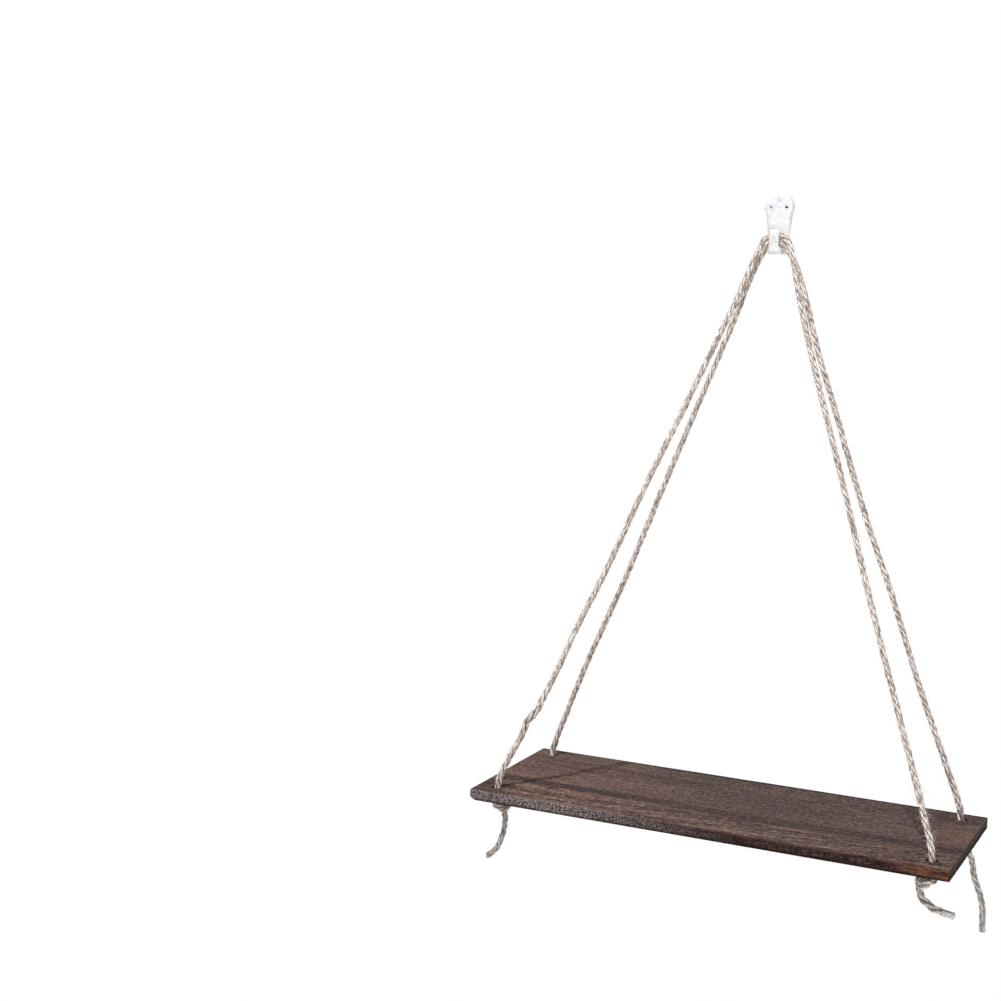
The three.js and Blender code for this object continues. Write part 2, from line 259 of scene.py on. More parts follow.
def tie(top, bottom, turn, hand, thick, lift, rounds=600, spacing=0.0011):
    """The middle line of an overhand knot between two held points, drawn tight under the board."""
    t = np.linspace(-loop_reach, loop_reach, loop_points)
    loop = np.stack([hand * (t ** 3 - 3 * t) * loop_size, (t ** 4 - 4 * t ** 2 + 1) * loop_size,
                     -(t ** 5 - 10 * t) * loop_height], axis=1)
    c, s = math.cos(turn), math.sin(turn)
    turning = np.array([[c, s, 0], [-s, c, 0], [0, 0, 1]])
    path = loop @ turning + (top + bottom) / 2 - [0, 0, loop_drop]
    ends = path[0].copy(), path[-1].copy()
    keep_off = int(1.5 * rope_diameter / spacing)
    for step in range(rounds):
        share = min(step / (0.3 * rounds), 1)
        path = evenly(path, spacing)
        path[0] = ends[0] * (1 - share) + top * share
        path[-1] = ends[1] * (1 - share) + bottom * share
        path[1:-1] += pull_share * (path[:-2] + path[2:] - 2 * path[1:-1])
        under = np.arange(len(path)) * spacing > top[2] - board_bottom + 0.4 * rope_diameter
        under[-1] = False
        path[under, 2] += lift
        for _ in range(3):
            push_apart(path, rope_diameter * thick, keep_off)
            path[under, 2] = np.minimum(path[under, 2], board_bottom - rope_radius)
    return path


def tail_start(rope, hand):
    """Where a loose end begins, under its knot."""
    return np.array([tail_starts[rope, hand], hole_y[rope], tail_start_z])


knots = {
    ("front", "left"): {"turn": 0.925, "hand": 1, "thick": 0.846, "lift": 0.00002},
    ("front", "right"): {"turn": 1.0, "hand": -1, "thick": 0.843, "lift": 0},
    ("back", "left"): {"turn": 4.0, "hand": 1, "thick": 0.88, "lift": 0.00001},
    ("back", "right"): {"turn": 5.2, "hand": -1, "thick": 0.88, "lift": 0.00001},
}
knot_lines = {}
for (rope, hand), knot in knots.items():
    top = np.array([sides[hand] * (hole_x - hole_lean[rope, hand]), hole_y[rope], board_middle])
    bottom = tail_start(rope, hand) + tail_offsets[rope, hand][0]
    knot_lines[rope, hand] = tie(top, bottom, **knot)
    print(rope, hand, "knot: rope used in mm", in_mm(knot_lines[rope, hand]))

# %% [markdown]
# ## One line for each rope
# A rope's three strands must not jump where its pieces meet, so each whole rope is one line
# from loose end to loose end, and the twist is counted along it. Only then is it divided:
# the length between the knots is one piece, and knots and tails stay with the board.


# %% Join the stretches into whole ropes
line_spacing = 0.0006
kink_above, kink_below = (-0.1675, -0.1242, -0.4537), (-0.1731, -0.1280, -0.4669)
kinks = {("front", "left"): [(kink_above, 0.0045, (0.0012, 0.0005, 0)),
                             (kink_below, 0.0055, (-0.0021, -0.0009, 0))]}


def bell(reach):
    """Weights that rise and fall like a bell."""
    return np.exp(-0.5 * (np.arange(-3 * reach, 3 * reach + 1) / reach) ** 2)


def nearness(line, place, reach):
    """1 where a line passes a place, and less the further off."""
    return np.exp(-0.5 * (np.linalg.norm(line - np.array(place), axis=1) / reach) ** 2)


def soften(line, reach, fixed_ends=2):
    """Rounds off the small kinks where stretches meet."""
    weights = bell(reach) / bell(reach).sum()
    first, last = (np.repeat(end, 3 * reach, axis=0) for end in (line[:1], line[-1:]))
    padded = np.vstack([first, line, last])
    smooth = np.stack([np.convolve(padded[:, axis], weights, "valid") for axis in range(3)], axis=1)
    smooth[:fixed_ends] = line[:fixed_ends]
    smooth[-fixed_ends:] = line[-fixed_ends:]
    return smooth


def kinked(line, rope, hand):
    """Pushes a line aside where the real rope has a kink."""
    for place, reach, push in kinks.get((rope, hand), []):
        line = line + nearness(line, place, reach)[:, None] * np.array(push)
    return line


def half_rope(rope, hand):
    """From the middle of the hook down to the loose end, with the places where it is cut."""
    side = sides[hand]
    arc = [on_bend(rope, side * leave_angle[rope] * i / 12) for i in range(12)]
    leg = evenly(through(arc + leg_points(rope, hand)), line_spacing)
    leg = kinked(leg[leg[:, 2] > board_middle], rope, hand)
    knot = evenly(knot_lines[rope, hand], line_spacing)
    start = tail_start(rope, hand)
    tail = evenly(through([start + offset for offset in tail_offsets[rope, hand]]), line_spacing)
    line = soften(evenly(np.vstack([leg, knot[1:], tail[1:]]), line_spacing), 2)
    to_hole = np.abs(line[:, 2] - board_bottom)[:len(leg) + 20]
    to_knot = np.abs(line[::-1][:, 2] - tail_start_z)[:len(tail) + 30]
    return line, int(np.argmin(to_hole)), len(line) - 1 - int(np.argmin(to_knot))


ropes = {}
for rope in ("front", "back"):
    left, left_hole, left_knot = half_rope(rope, "left")
    far_side, right_hole, right_knot = half_rope(rope, "right")
    middle = len(left) - 1
    ropes[rope] = {
        "line": np.vstack([left[::-1], far_side[1:]]),
        "cuts": [0, middle - left_knot, middle - left_hole, middle + right_hole, middle + right_knot,
                 middle + len(far_side) - 1],
    }
    print(rope, "rope: whole length in mm", in_mm(ropes[rope]["line"]), "cuts", ropes[rope]["cuts"])


# %% [markdown]
# ## Twisting the strands
# The rope is laid from three strands, one turn every 25 mm, like the middle stroke of an S.
# Each strand is a tube of its own that winds round the rope's middle line. A frame is carried
# along that line without twist, so that only the lay turns the strands. Round a strand, the
# texture's u runs from the hidden inner side through the crown and back; along it, v is the
# rope's length in metres. Jute is uneven, so the strands swell and thin a little, and where the
# lay has gone slack they stand apart and hardly turn.

# %% Strands round a line
lay_length = 0.025
strand_radius = 0.00142
strand_offset = 0.00124
unevenness = 0.06
strand_seeds = {"front": 11, "back": 23}
loose_places = {
    "front": [(kink_above, 0.0055, 0.34), (kink_below, 0.006, 0.46),
              ((-0.186, -0.134, -0.495), 0.022, 0.12), ((-0.1945, -0.142, -0.523), 0.010, 0.34),
              ((-0.2034, -0.142, -0.5931), 0.002, 0.35), ((0.190, -0.142, -0.560), 0.009, 0.30),
              ((0.204, -0.142, -0.569), 0.009, 0.24), ((0.193, -0.139, -0.52), 0.012, 0.22)],
    "back": [((-0.2200, -0.0295, -0.5685), 0.003, 0.5), ((-0.196, -0.018, -0.524), 0.008, 0.34),
             ((0.194, -0.018, -0.524), 0.010, 0.32), ((0.19, -0.018, -0.50), 0.02, 0.08)],
}


def unit(v):
    return v / (np.linalg.norm(v, axis=-1, keepdims=True) + 1e-12)


def carried_frame(line):
    """Directions across a line that follow its bends without turning round it."""
    tangents = unit(np.gradient(line, axis=0))
    across = np.empty_like(line)
    across[0] = unit(np.cross(tangents[0], [0.3, 1.0, 0.1]))
    for i in range(1, len(line)):
        moved = across[i - 1] - tangents[i] * (across[i - 1] @ tangents[i])
        across[i] = moved / np.linalg.norm(moved)
    return tangents, across, np.cross(tangents, across)


def wander(count, reach, rng):
    """A slow random wave, about -1 to 1."""
    raw = np.convolve(rng.normal(size=count + 6 * reach), bell(reach), "valid")
    return raw / (raw.std() + 1e-9)


def looseness(rope):
    """How far the strands stand apart, point by point."""
    line = ropes[rope]["line"]
    return sum(amount * nearness(line, place, reach) for place, reach, amount in loose_places[rope])


def mesh_object(name, vertices, faces, uv=None):
    """A smooth mesh from points and faces, with a texture map if one is given."""
    mesh = bpy.data.meshes.new(name)
    face_lists = faces if isinstance(faces, list) else faces.tolist()
    mesh.from_pydata(np.asarray(vertices).tolist(), [], face_lists)
    if uv is not None:
        mesh.uv_layers.new(name="along_strand").data.foreach_set("uv", np.asarray(uv, np.float32).ravel())
    mesh.polygons.foreach_set("use_smooth", [True] * len(mesh.polygons))
    mesh.update()
    piece = bpy.data.objects.new(name, mesh)
    bpy.context.collection.objects.link(piece)
    return piece


def tube(rows, v, strand, begin):
    """Faces and texture places of a tube from its rings of points."""
    count, ring = rows.shape[0], rows.shape[1]
    i, j = np.meshgrid(np.arange(count - 1), np.arange(ring), indexing="ij")
    after = (j + 1) % ring
    faces = np.stack([i * ring + j, i * ring + after, (i + 1) * ring + after, (i + 1) * ring + j], axis=-1)
    u = np.stack([j, j + 1, j + 1, j], axis=-1) / ring + strand
    along = np.stack([v[i], v[i], v[i + 1], v[i + 1]], axis=-1)
    return (faces + begin).reshape(-1, 4).tolist(), np.stack([u, along], axis=-1).reshape(-1, 2)


def lay_strands(rope, ring=12):
    """Winds three strands round a whole rope's line and keeps their rings."""
    line = ropes[rope]["line"]
    rng = np.random.default_rng(strand_seeds[rope])
    tangents, across, beside = carried_frame(line)
    loose = looseness(rope)
    steps = np.concatenate([[0], steps_of(line)])
    turned = -2 * math.pi * np.cumsum(steps * (1 - 0.75 * np.minimum(loose, 1))) / lay_length
    turned += 0.3 * wander(len(line), 50, rng)
    rows = []
    for strand in range(3):
        angle = turned + 2 * math.pi * strand / 3
        outward = np.cos(angle)[:, None] * across + np.sin(angle)[:, None] * beside
        offset = strand_offset * (1 + unevenness * wander(len(line), 12, rng) + loose)
        centre = line + offset[:, None] * outward
        ahead = unit(np.gradient(centre, axis=0))
        crown = unit(outward - ahead * (outward * ahead).sum(axis=1, keepdims=True))
        flank = np.cross(ahead, crown)
        round_it = 2 * math.pi * (np.arange(ring) / ring) - math.pi
        swell = (1 + unevenness * wander(len(line), 9, rng) + 0.25 * loose)[:, None]
        lumps = 1 + unevenness * np.stack([wander(len(line), 4, rng) for _ in range(ring)], axis=1)
        reach = strand_radius * swell * lumps
        rows.append(centre[:, None, :] + (reach * np.cos(round_it))[:, :, None] * crown[:, None, :]
                    + (reach * np.sin(round_it))[:, :, None] * flank[:, None, :])
    ropes[rope].update(rows=rows, v=np.cumsum(steps), tangents=tangents, across=across, beside=beside)


def rope_piece(name, rope, first, last, stride=1, closed=None):
    """One stretch of a rope as a mesh of three strands, closed at its loose end."""
    keep = np.arange(first, last + 1, stride)
    if keep[-1] != last:
        keep = np.append(keep, last)
    v = ropes[rope]["v"][keep]
    vertices, faces, uvs = [], [], []
    for strand in range(3):
        rows = ropes[rope]["rows"][strand][keep]
        begin = strand * rows.shape[0] * rows.shape[1]
        quads, places = tube(rows, v, strand, begin)
        vertices.append(rows.reshape(-1, 3))
        faces += quads
        uvs.append(places)
        if closed is not None:
            ring = [begin + closed % len(keep) * rows.shape[1] + j for j in range(rows.shape[1])]
            faces.append(ring if closed else ring[::-1])
            uvs.append(np.tile([strand + 0.5, v[closed]], (len(ring), 1)))
    return mesh_object(name, np.vstack(vertices), faces, np.vstack(uvs))


rope_pieces, tail_pieces, knot_pieces = {}, {}, {}
for rope in ("front", "back"):
    lay_strands(rope)
    cuts = ropes[rope]["cuts"]
    rope_pieces[rope] = rope_piece(f"{rope}_rope", rope, cuts[2], cuts[3], stride=2)
    for hand, knot_cuts, tail_cuts, loose_end in (
            ("left", cuts[1:3], cuts[0:2], 0), ("right", cuts[3:5], cuts[4:6], -1)):
        knot_pieces[rope, hand] = rope_piece(f"{rope}_{hand}_tied_knot", rope, *knot_cuts)
        tail_pieces[rope, hand] = rope_piece(f"{rope}_{hand}_loose_end", rope, *tail_cuts, closed=loose_end)
print("rope meshes:", {o.name: len(o.data.vertices) for o in rope_pieces.values()})

# %% [markdown]
# ## Tape on two ends
# Two of the loose ends are wound with clear tape against fraying. Tape over a twisted rope
# isn't a smooth pipe: it bridges the grooves, creases, and pinches in past the rope's end. So
# its radius follows the strands a little, wanders, and closes at the tip.


# %% Wind the tape
tape_lengths = {"front": 0.0091, "back": 0.0219}
tape_seeds = {"front": 66, "back": 65}
pinched_tip = ((0.86, 0.0004), (0.5, 0.0008), (0.06, 0.0009))


def taped_end(name, rope, length, radius=0.00285, ring=24):
    """A sleeve of tape over the right-hand end of a rope."""
    data = ropes[rope]
    rng = np.random.default_rng(tape_seeds[rope])
    covered = np.nonzero(data["v"] > data["v"][-1] - length)[0]
    turn = -2 * math.pi * data["v"][covered] / lay_length
    rings = []
    for i, twist in zip(covered, turn):
        around = 2 * math.pi * np.arange(ring) / ring
        bulge = 1 + 0.035 * np.cos(3 * (around - twist)) + 0.018 * rng.normal(size=ring)
        out = np.cos(around)[:, None] * data["across"][i] + np.sin(around)[:, None] * data["beside"][i]
        rings.append(data["line"][i] + radius * bulge[:, None] * out)
    tip, ahead = data["line"][-1], data["tangents"][-1]
    for share, beyond in pinched_tip:
        rings.append(tip + ahead * beyond + (rings[len(covered) - 1] - tip) * share)
    rows = np.array(rings)
    faces, _ = tube(rows, np.arange(len(rows)), 0, 0)
    return mesh_object(name, rows.reshape(-1, 3), faces)


tapes = {rope: taped_end(f"{rope}_right_tape", rope, length) for rope, length in tape_lengths.items()}
print("tape on:", list(tapes))


# %% [markdown]
# ## Loose fibres
# Jute sheds: short stiff hairs stand off the rope all along and show against the dark board.
# Blender's hair would be lost on export, so each hair is a thin three-sided tube that starts
# in a strand, leans along the rope and curls a little. They are made together, as one mesh for
# each stretch, to stay light. Near the hook the hairs are pressed forward, off its plate and
# head, as they are when the rope is lifted past them.


# %% Hairs from chosen roots
hook_reach = -0.085
three_ways = (0, 2.094, 4.189)


def hairs(name, roots, headings, lengths, rng, thickness, steps):
    """Thin curling tubes from their roots."""
    count = len(roots)
    axis = unit(rng.normal(size=(count, 3)))
    curl = rng.normal(0, 0.9 / steps, count)[:, None]
    point, heading = roots.copy(), unit(headings)
    rings = []
    for step in range(steps):
        side = unit(np.cross(heading, axis))
        other = np.cross(heading, side)
        width = thickness / 2 * (1 - 0.6 * step / (steps - 1))
        rings.append(np.stack([point + width * (math.cos(a) * side + math.sin(a) * other)
                               for a in three_ways], axis=1))
        heading = unit(heading + curl * np.cross(axis, heading))
        point = point + heading * lengths[:, None] / (steps - 1)
    rings = np.stack(rings, axis=1)
    first = (np.arange(count) * steps * 3)[:, None, None, None]
    i, j = np.meshgrid(np.arange(steps - 1), np.arange(3), indexing="ij")
    quads = np.stack([i * 3 + j, i * 3 + (j + 1) % 3, (i + 1) * 3 + (j + 1) % 3, (i + 1) * 3 + j], axis=-1)
    return mesh_object(name, rings.reshape(-1, 3), (first + quads[None]).reshape(-1, 4))


def fibres(name, rope, at, shortest, longest, seed, thickness=0.00015, steps=5, lean=0.5):
    """Hairs that stand off a rope at the given points of its line."""
    rng = np.random.default_rng(seed)
    data = ropes[rope]
    count = len(at)
    angle = rng.uniform(0, 2 * math.pi, count)[:, None]
    out = np.cos(angle) * data["across"][at] + np.sin(angle) * data["beside"][at]
    by_hook = data["line"][at][:, 2] > hook_reach
    out[by_hook, 1] = -np.abs(out[by_hook, 1])
    along = data["tangents"][at] * rng.choice([-1, 1], count)[:, None]
    lengths = shortest + (longest - shortest) * rng.uniform(0, 1, count) ** 2
    outward = out * lean * rng.uniform(0.4, 1.6, count)[:, None]
    headings = along * (1 - lean) + outward + 0.25 * rng.normal(size=(count, 3))
    headings[by_hook, 1] = -np.abs(headings[by_hook, 1])
    roots = data["line"][at] + out * rope_radius * 0.85 * (1 + looseness(rope)[at, None] * 0.6)
    return hairs(name, roots, headings, lengths, rng, thickness, steps)


def brush(name, rope, end, count, seed):
    """The frayed fibres at a loose end."""
    rng = np.random.default_rng(seed)
    data = ropes[rope]
    strand = rng.integers(0, 3, count)
    middles = np.array([data["rows"][s][end].mean(axis=0) for s in range(3)])
    roots = middles[strand] + rng.normal(0, 0.0006, (count, 3))
    ahead = data["tangents"][end] * (1 if end else -1)
    headings = ahead + 0.30 * rng.normal(size=(count, 3))
    lengths = rng.uniform(0.0015, 0.0055, count)
    return hairs(name, roots - ahead * 0.001, headings, lengths, rng, thickness=0.00016, steps=4)


def spread(first, last, count, seed):
    """Random points along a stretch."""
    return np.random.default_rng(seed).integers(first + 1, last, count)


fuzz = {}
for rope in ("front", "back"):
    line, cuts = ropes[rope]["line"], ropes[rope]["cuts"]
    at = spread(cuts[2], cuts[3], count=3600, seed=3)
    fuzz[rope, "short"] = fibres(f"{rope}_rope_nap", rope, at, shortest=0.001, longest=0.0035,
                                 seed=5, steps=4, lean=0.4)
    at = spread(cuts[2], cuts[3], count=620, seed=4)
    if rope == "front":
        by_hole = (line[:, 0] > 0.17) & (line[:, 2] < -0.45) & (line[:, 2] > -0.524)
        at = np.concatenate([at, np.random.default_rng(8).choice(np.nonzero(by_hole)[0], 170)])
    fuzz[rope, "long"] = fibres(f"{rope}_rope_fibres", rope, at, shortest=0.003, longest=0.0105,
                                seed=9, lean=0.55, steps=6)
    for hand, first, last in (("left", cuts[0], cuts[2]), ("right", cuts[3], cuts[5])):
        at = spread(first, last, count=380, seed=6)
        fuzz[rope, hand] = fibres(f"{rope}_{hand}_end_fibres", rope, at, shortest=0.001,
                                  longest=0.005, seed=7)
frays = {rope: brush(f"{rope}_left_fray", rope, end=0, count=90, seed=12) for rope in ropes}
print("fibre meshes:", len(fuzz) + len(frays))

# %% [markdown]
# ## What moves with what
# The rope between the knots leaves the hook's saddle on one body and reaches the board on
# another. Everything below the board rides with the board. The length of each stretch, along
# the line that it follows, is printed.


# %% Put the knots and loose ends on the board
def stretch(rope, first, last):
    """The middle line of a stretch, and its length."""
    line = ropes[rope]["line"][first:last + 1]
    path = line[::4] if (len(line) - 1) % 4 == 0 else np.vstack([line[::4], line[-1:]])
    return path.tolist(), float(steps_of(path).sum())


for rope in ("front", "back"):
    cuts = ropes[rope]["cuts"]
    for piece in (rope_pieces[rope], fuzz[rope, "short"], fuzz[rope, "long"]):
        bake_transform(piece)
    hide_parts(f"{rope}_rope_bend", f"{rope}_rope_left_leg", f"{rope}_rope_right_leg")
    for hand in sides:
        for piece in (knot_pieces[rope, hand], tail_pieces[rope, hand], fuzz[rope, hand]):
            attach(piece, "hanging_shelf")
        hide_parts(f"{rope}_{hand}_knot")
        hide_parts(f"{rope}_{hand}_tail")
    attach(frays[rope], "hanging_shelf")
    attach(tapes[rope], "hanging_shelf")
    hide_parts(f"{rope}_right_taped_end")
    path, length = stretch(rope, cuts[2], cuts[3])
    print(rope, "rope between its knots, in mm:", round(1000 * length))
    for hand, first, last, extra in (("left", cuts[0], cuts[1], frays), ("right", cuts[4], cuts[5], tapes)):
        path, length = stretch(rope, first, last)
        path[-1] if hand == "left" else path[0]
        print(rope, hand, "loose end, in mm:", round(1000 * length))

# %% [markdown]
# ## Writing a finish
# A finish is a small network of shader nodes. Written out call by call it hides its sense, so
# a wire between nodes is wrapped in a class that knows Python's own operators: `1 - mask` adds
# the Math node that does it. Every other node comes from one method, which takes the node's
# type, its settings and what feeds its sockets.


# %% A wire with operators, and a finish
class Wire:
    """What a node gives out, ready to be used in an expression."""

    def __init__(self, finish, socket):
        self.finish = finish
        self.socket = socket

    def maths(self, operation, *values):
        return self.finish.node("Math", {"operation": operation}, values)

    def __add__(self, other):
        return self.maths("ADD", self, other)

    def __sub__(self, other):
        return self.maths("SUBTRACT", self, other)

    def __mul__(self, other):
        return self.maths("MULTIPLY", self, other)

    def __truediv__(self, other):
        return self.maths("DIVIDE", self, other)

    def __rsub__(self, other):
        return self.maths("SUBTRACT", other, self)

    def __abs__(self):
        return self.maths("ABSOLUTE", self)

    __radd__ = __add__
    __rmul__ = __mul__


class Finish:
    """A material, or the world, that is built up node by node."""

    def __init__(self, name, owner=None):
        self.made = owner or bpy.data.materials.new(name)
        self.made.use_nodes = True
        self.tree = self.made.node_tree
        self.skin = self.tree.nodes.get("Principled BSDF")

    def node(self, kind, settings=None, feeds=(), out=0):
        """Adds a node, sets it, feeds its sockets and returns the wire of one output."""
        added = self.tree.nodes.new("ShaderNode" + kind)
        for setting, value in (settings or {}).items():
            if setting == "stops":
                while len(added.color_ramp.elements) < len(value):
                    added.color_ramp.elements.new(1)
                for stop, (place, colour) in zip(added.color_ramp.elements, value):
                    stop.position, stop.color = place, (*colour, 1)
            else:
                setattr(added, setting, value)
        for key, value in (feeds.items() if isinstance(feeds, dict) else enumerate(feeds)):
            self.feed(added.inputs[key], value)
        return Wire(self, added.outputs[out])

    def feed(self, socket, value):
        if isinstance(value, Wire):
            self.tree.links.new(value.socket, socket)
        elif isinstance(value, tuple) and len(value) == 3 and socket.type == "RGBA":
            socket.default_value = (*value, 1)
        else:
            socket.default_value = value

    def dress(self, **skin):
        """Feeds the skin's own sockets, named with _ for a space."""
        for name, value in skin.items():
            self.feed(self.skin.inputs[name.replace("_", " ")], value)

    def blend(self, first, second, share, way="MIX"):
        """Mixes two colours by a share."""
        settings = {"data_type": "RGBA", "blend_type": way}
        return self.node("Mix", settings, {0: share, 6: first, 7: second}, 2)

    def between(self, value, low, high):
        """0 below low, 1 above high, and smooth in between."""
        return self.node("MapRange", {"interpolation_type": "SMOOTHSTEP"}, {0: value, 1: low, 2: high})

    def scaled(self, place, factors):
        """A place in space, stretched."""
        return self.node("VectorMath", {"operation": "MULTIPLY"}, [place, factors])

    def length(self, place):
        """How far a place is from the origin."""
        return self.node("VectorMath", {"operation": "LENGTH"}, [place], 1)

    def here(self):
        """The place on the piece, in metres."""
        return self.node("TexCoord", {}, (), 3)

    def part(self, place, axis):
        """One of a place's three numbers."""
        return self.node("SeparateXYZ", {}, [place], axis)

    def place(self, x, y, z):
        """A place made of three numbers."""
        return self.node("CombineXYZ", {}, [x, y, z])

    def coated(self, look, coats):
        """Lays coats of colour over one another, each by its own share."""
        for colour, share in coats.values():
            look = self.blend(look, colour, share)
        return look

    def noise(self, place, detail=2.0, roughness=0.5):
        """Cloudy noise, about 0 to 1."""
        feeds = {"Vector": place, "Scale": 1.0, "Detail": detail, "Roughness": roughness}
        return self.node("TexNoise", {}, feeds)

    def bump(self, height, distance, strength=1.0, onto=None):
        """A surface that rises with a height, up to a distance in metres."""
        feeds = {"Height": height, "Distance": distance, "Strength": strength}
        if onto:
            feeds["Normal"] = onto
        return self.node("Bump", {}, feeds)


def wear(piece, finish):
    """Gives a piece one finish."""
    piece.data.materials.clear()
    piece.data.materials.append(finish.made)


print("ready to write finishes")

# %% [markdown]
# ## Jute
# Jute fibre is pale straw to grey-brown, and the strands differ from place to place. Up close
# a strand shows fine hairs lying along the rope, so the noise is stretched along them; the
# grooves between strands are painted dark, as painted shade. The texture map built with the
# strands says where the crown and the groove are.

# %% The rope's finish
jute = Finish("twisted_jute")
strand_map = jute.node("UVMap", {"uv_map": "along_strand"})
round_u, along_v = jute.part(strand_map, 0), jute.part(strand_map, 1)
waver = jute.noise(jute.place(round_u * 3.0, along_v * 120.0, 11.0), 1.0) - 0.5
lying = (round_u - along_v * 70.0) * 5.0 + waver * 0.5
hairs_on_it = jute.noise(jute.place(lying * 5.0, along_v * 160.0, 0.0), 3.0, 0.65)
each_yarn = jute.node("Math", {"operation": "FLOOR"}, [lying])
yarn_tone = jute.noise(jute.place(each_yarn * 7.3, along_v * 110.0, round_u * 1.5), 1.0)
slow = jute.noise(jute.place(round_u * 0.8, along_v * 30.0, 7.0))
dark_hairs = jute.noise(jute.place(lying * 1.6, along_v * 240.0, 23.0), 1.0)
yarn_middle = abs(jute.node("Math", {"operation": "SINE"}, [lying * math.pi]))
crown = 0.5 - jute.node("Math", {"operation": "COSINE"}, [round_u * (2 * math.pi)]) * 0.5
straw = jute.node("ValToRGB", {"stops": [
    (0.37, (0.27, 0.22, 0.185)), (0.445, (0.62, 0.53, 0.475)), (0.535, (0.99, 0.92, 0.865)),
]}, [hairs_on_it * 0.42 + yarn_tone * 0.58])
toned = jute.blend(straw, (0.46, 0.32, 0.22), jute.between(slow, 0.54, 0.72) * 0.45)
lined = jute.blend((0.16, 0.125, 0.105), toned, jute.between(yarn_middle, 0.05, 0.60) * 0.88 + 0.12)
flecked = jute.blend(lined, (0.185, 0.122, 0.096), jute.between(dark_hairs, 0.53, 0.64) * 0.60)
# The grooves between strands are painted a near-black brown: painted shade in the grooves.
groove_painted_shade = jute.blend((0.080, 0.057, 0.046), flecked, jute.between(crown, 0.28, 0.70))
at_knots = jute.here()
under_board = 1 - jute.between(jute.part(at_knots, 2), board_bottom - 0.004, board_bottom)
on_left = 1 - jute.between(jute.part(at_knots, 0), -0.1, 0.0)
# Knots and loose ends below the board's left half are made darker.
darker_under_left_board = jute.blend(groove_painted_shade, (0.16, 0.125, 0.10), under_board * on_left * 0.50)
lift = jute.bump(hairs_on_it * 0.5 + yarn_middle * 0.7, 0.0004)
jute.dress(Base_Color=darker_under_left_board, Roughness=hairs_on_it * 0.2 + 0.65, Normal=lift)
jute.dress(Specular_IOR_Level=0.25)

stray = Finish("loose_fibre")
stray_tone = stray.noise(stray.scaled(stray.here(), (300.0, 300.0, 300.0)), 1.0)
stray.dress(Base_Color=stray.blend((0.42, 0.35, 0.30), (0.90, 0.85, 0.79), stray_tone), Roughness=0.6)
for piece in [*rope_pieces.values(), *knot_pieces.values(), *tail_pieces.values()]:
    wear(piece, jute)
for piece in [*fuzz.values(), *frays.values()]:
    wear(piece, stray)
print("jute on", len(rope_pieces) + len(knot_pieces) + len(tail_pieces), "pieces")

# %% [markdown]
# ## Clear tape
# The tape is clear but milky where it is creased or stands off the rope. A surface that lets
# light through in proportion to its alpha shows the strands under it, and a glossy coat
# gives it the look of film.

# %% The tape's finish
film = Finish("clear_tape")
on_film = film.here()
creases = film.noise(film.scaled(on_film, (650.0, 650.0, 650.0)), 3.0, 0.65)
at_front = 1 - film.between(film.part(on_film, 1), -0.1, -0.06)
milky = film.between(creases, 0.4, 0.62)
film.dress(Base_Color=film.blend((0.62, 0.63, 0.64), (0.93, 0.94, 0.95), milky),
           Roughness=creases * 0.3 + 0.12, Alpha=at_front * 0.50 + milky * 0.23 + 0.14,
           Normal=film.bump(creases, 0.0004, 0.8))
for piece in tapes.values():
    wear(piece, film)
print("tape finished")

# %% [markdown]
# ## The board
# The board is sawn softwood with its arrises rubbed round and a dark stain over all. The solid
# has the right size but perfectly even edges, so a new board is built as rings of points, from
# the top round the edge to the underside, that wander by a tenth of a millimetre. The holes
# are made the same way, 0.4 mm smaller in radius than the solid's, which looks more like the
# photograph. Flat caps close the top and the underside. The lower front corner on the left is
# knocked off, so the rings rise there, where the solid is square.


# %% Rings for the board's edge and its holes
corner_radius, least_corner = 0.0015, 0.0004
front_parts, end_parts = 106, 38
chip_height = 0.0026
chip_length, chip_run = 0.0045, 0.0040
chip_depth, chip_fade = 0.030, 0.025
arris_radius, rim_radius = 0.001, 0.0005
rub_depth, arris_rub = 0.00008, 0.3
hole_sides = 40


def outline(inset):
    """The board's outline, seen from above, drawn in by an inset."""
    half, back, front = board_length / 2 - inset, -inset, -board_depth + inset
    corner = max(corner_radius - inset, least_corner)
    points = []
    for cx, cy, begin in ((half - corner, back - corner, 0), (-half + corner, back - corner, 90),
                          (-half + corner, front + corner, 180), (half - corner, front + corner, 270)):
        for k in range(5):
            angle = math.radians(begin + 22.5 * k)
            points.append((cx + corner * math.cos(angle), cy + corner * math.sin(angle)))
    filled = []
    for (ax, ay), (bx, by) in zip(points, points[1:] + points[:1]):
        span = math.hypot(bx - ax, by - ay)
        parts = 1
        if span > board_depth / 2:
            parts = front_parts if span > board_depth else end_parts
        filled += [(ax + (bx - ax) * k / parts, ay + (by - ay) * k / parts) for k in range(parts)]
    return np.array(filled)


def edge_profile(radius, rounds=5):
    """Inset and height down a rounded edge, from the top to the underside."""
    rows = []
    for k in range(rounds + 1):
        angle = math.pi / 2 * k / rounds
        rows.append((radius * (1 - math.sin(angle)), board_top - radius * (1 - math.cos(angle))))
    lower = [(inset, board_top + board_bottom - z) for inset, z in rows[::-1]]
    return rows + lower


def knocked_corner(points):
    """How far the underside rises at the chipped front left corner, point by point."""
    along = np.clip((-points[:, 0] - board_length / 2 + chip_length) / chip_run, 0, 1)
    across = np.clip((-points[:, 1] - board_depth + chip_depth) / chip_fade, 0, 1)
    return chip_height * along * across


